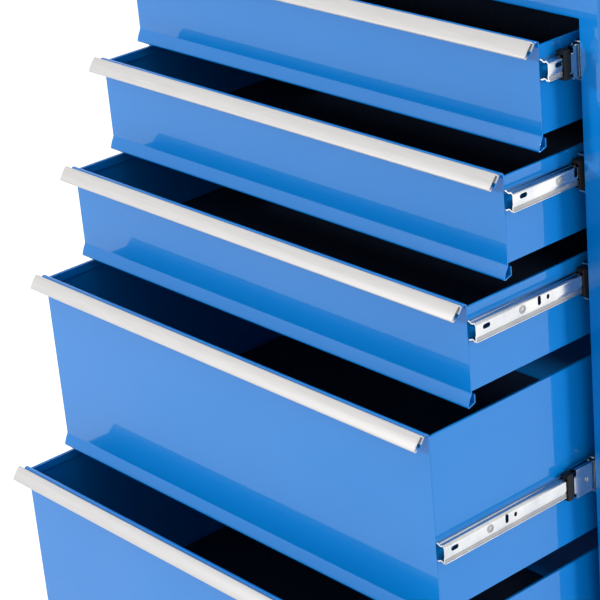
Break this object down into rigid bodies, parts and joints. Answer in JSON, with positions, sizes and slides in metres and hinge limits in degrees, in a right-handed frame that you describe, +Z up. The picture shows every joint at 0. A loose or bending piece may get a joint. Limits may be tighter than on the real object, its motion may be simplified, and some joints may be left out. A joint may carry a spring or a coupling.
{
  "type": "rolling tool cabinet",
  "caption": "Rolling sheet-steel tool cabinet with shallow and deep drawers on telescopic ball slides, full-width pulls, a side push handle and casters.",
  "frame": {"origin": "on the floor, below the centre of the bounding box with the drawers standing open as at rest", "axes": "+Z up, +X to the right of someone facing the drawers, +Y to the back; the drawers open towards -Y"},
  "size_m": [0.708, 0.7118, 0.9394],
  "materials": {
    "blue_paint": "gloss powder coat",
    "pull_aluminium": "satin anodised",
    "zinc_plate": "bright zinc plate",
    "chrome_plate": "bright chrome",
    "liner": "matte foam liner",
    "cage_plastic": "moulded",
    "mat_rubber": "ribbed",
    "wheel_rubber": "smooth"
  },
  "bodies": {
    "case": {"front_frame": "blue_paint", "left_side_panel": "blue_paint", "right_side_panel": "blue_paint", "back_panel": "blue_paint", "base_pan": "blue_paint", "rear_uprights": "blue_paint", "top_panel": "blue_paint", "top_mat": "mat_rubber", "case_slide_rails": "zinc_plate", "side_handle": "chrome_plate", "handle_feet": "chrome_plate", "lock_sleeve": "chrome_plate", "caster_left_front_bracket": "zinc_plate", "caster_left_rear_bracket": "zinc_plate", "caster_right_front_plate": "zinc_plate", "caster_right_rear_plate": "zinc_plate"},
    "drawer_1": {"drawer_1_front": "blue_paint", "drawer_1_pull": "pull_aluminium", "drawer_1_tray": "blue_paint", "drawer_1_liner": "liner", "drawer_1_rails": "zinc_plate"},
    "middle_slides_1": {"slide_1_middle_rails": "zinc_plate", "slide_1_ball_cages": "cage_plastic"},
    "drawer_2": {"drawer_2_front": "blue_paint", "drawer_2_pull": "pull_aluminium", "drawer_2_tray": "blue_paint", "drawer_2_liner": "liner", "drawer_2_rails": "zinc_plate"},
    "middle_slides_2": {"slide_2_middle_rails": "zinc_plate", "slide_2_ball_cages": "cage_plastic"},
    "drawer_3": {"drawer_3_front": "blue_paint", "drawer_3_pull": "pull_aluminium", "drawer_3_tray": "blue_paint", "drawer_3_liner": "liner", "drawer_3_rails": "zinc_plate"},
    "middle_slides_3": {"slide_3_middle_rails": "zinc_plate", "slide_3_ball_cages": "cage_plastic"},
    "drawer_4": {"drawer_4_front": "blue_paint", "drawer_4_pull": "pull_aluminium", "drawer_4_tray": "blue_paint", "drawer_4_liner": "liner", "drawer_4_rails": "zinc_plate"},
    "middle_slides_4": {"slide_4_middle_rails": "zinc_plate", "slide_4_ball_cages": "cage_plastic"},
    "drawer_5": {"drawer_5_front": "blue_paint", "drawer_5_pull": "pull_aluminium", "drawer_5_tray": "blue_paint", "drawer_5_liner": "liner", "drawer_5_rails": "zinc_plate"},
    "middle_slides_5": {"slide_5_middle_rails": "zinc_plate", "slide_5_ball_cages": "cage_plastic"},
    "lock": {"lock_plug": "chrome_plate"},
    "left_front_wheel": {"caster_left_front_wheel": "wheel_rubber"},
    "right_front_fork": {"caster_right_front_fork": "zinc_plate"},
    "right_front_wheel": {"caster_right_front_wheel": "wheel_rubber"},
    "right_front_brake": {"caster_right_front_brake": "cage_plastic"},
    "left_rear_wheel": {"caster_left_rear_wheel": "wheel_rubber"},
    "right_rear_fork": {"caster_right_rear_fork": "zinc_plate"},
    "right_rear_wheel": {"caster_right_rear_wheel": "wheel_rubber"},
    "right_rear_brake": {"caster_right_rear_brake": "cage_plastic"}
  },
  "joints": [
    {"name": "drawer_1_slide", "type": "slide", "parent": "case", "child": "drawer_1", "axis": [0, -1, 0], "range_m": [-0.035, 0.345]},
    {"name": "middle_1_slide", "type": "slide", "parent": "case", "child": "middle_slides_1", "axis": [0, -1, 0], "range_m": [-0.0175, 0.1725]},
    {"name": "drawer_2_slide", "type": "slide", "parent": "case", "child": "drawer_2", "axis": [0, -1, 0], "range_m": [-0.0845, 0.2955]},
    {"name": "middle_2_slide", "type": "slide", "parent": "case", "child": "middle_slides_2", "axis": [0, -1, 0], "range_m": [-0.04225, 0.14775]},
    {"name": "drawer_3_slide", "type": "slide", "parent": "case", "child": "drawer_3", "axis": [0, -1, 0], "range_m": [-0.1365, 0.2435]},
    {"name": "middle_3_slide", "type": "slide", "parent": "case", "child": "middle_slides_3", "axis": [0, -1, 0], "range_m": [-0.06825, 0.12175]},
    {"name": "drawer_4_slide", "type": "slide", "parent": "case", "child": "drawer_4", "axis": [0, -1, 0], "range_m": [-0.19, 0.19]},
    {"name": "middle_4_slide", "type": "slide", "parent": "case", "child": "middle_slides_4", "axis": [0, -1, 0], "range_m": [-0.095, 0.095]},
    {"name": "drawer_5_slide", "type": "slide", "parent": "case", "child": "drawer_5", "axis": [0, -1, 0], "range_m": [-0.244, 0.136]},
    {"name": "middle_5_slide", "type": "slide", "parent": "case", "child": "middle_slides_5", "axis": [0, -1, 0], "range_m": [-0.122, 0.068]},
    {"name": "lock_turn", "type": "hinge", "parent": "case", "child": "lock", "pos_m": [-0.033, -0.09405, 0.9074], "axis": [0, 1, 0], "range_deg": [0, 90]},
    {"name": "left_front_roll", "type": "hinge", "parent": "case", "child": "left_front_wheel", "pos_m": [-0.29, -0.01605, 0.05], "axis": [0, 1, 0], "continuous": true},
    {"name": "right_front_swivel", "type": "hinge", "parent": "case", "child": "right_front_fork", "pos_m": [0.224, -0.01605, 0.128], "axis": [0, 0, 1], "continuous": true},
    {"name": "right_front_roll", "type": "hinge", "parent": "right_front_fork", "child": "right_front_wheel", "pos_m": [0.189, -0.01605, 0.05], "axis": [0, 1, 0], "continuous": true},
    {"name": "right_front_brake_press", "type": "hinge", "parent": "right_front_fork", "child": "right_front_brake", "pos_m": [0.204, -0.01605, 0.107], "axis": [0, -1, 0], "range_deg": [0, 10]},
    {"name": "left_rear_roll", "type": "hinge", "parent": "case", "child": "left_rear_wheel", "pos_m": [-0.29, 0.28995, 0.05], "axis": [0, 1, 0], "continuous": true},
    {"name": "right_rear_swivel", "type": "hinge", "parent": "case", "child": "right_rear_fork", "pos_m": [0.224, 0.28995, 0.128], "axis": [0, 0, 1], "continuous": true},
    {"name": "right_rear_roll", "type": "hinge", "parent": "right_rear_fork", "child": "right_rear_wheel", "pos_m": [0.189, 0.28995, 0.05], "axis": [0, 1, 0], "continuous": true},
    {"name": "right_rear_brake_press", "type": "hinge", "parent": "right_rear_fork", "child": "right_rear_brake", "pos_m": [0.204, 0.28995, 0.107], "axis": [0, -1, 0], "range_deg": [0, 10]}
  ],
  "couplings": [
    {"joint": "middle_1_slide", "follows": "drawer_1_slide", "ratio": 0.5},
    {"joint": "middle_2_slide", "follows": "drawer_2_slide", "ratio": 0.5},
    {"joint": "middle_3_slide", "follows": "drawer_3_slide", "ratio": 0.5},
    {"joint": "middle_4_slide", "follows": "drawer_4_slide", "ratio": 0.5},
    {"joint": "middle_5_slide", "follows": "drawer_5_slide", "ratio": 0.5}
  ]
}
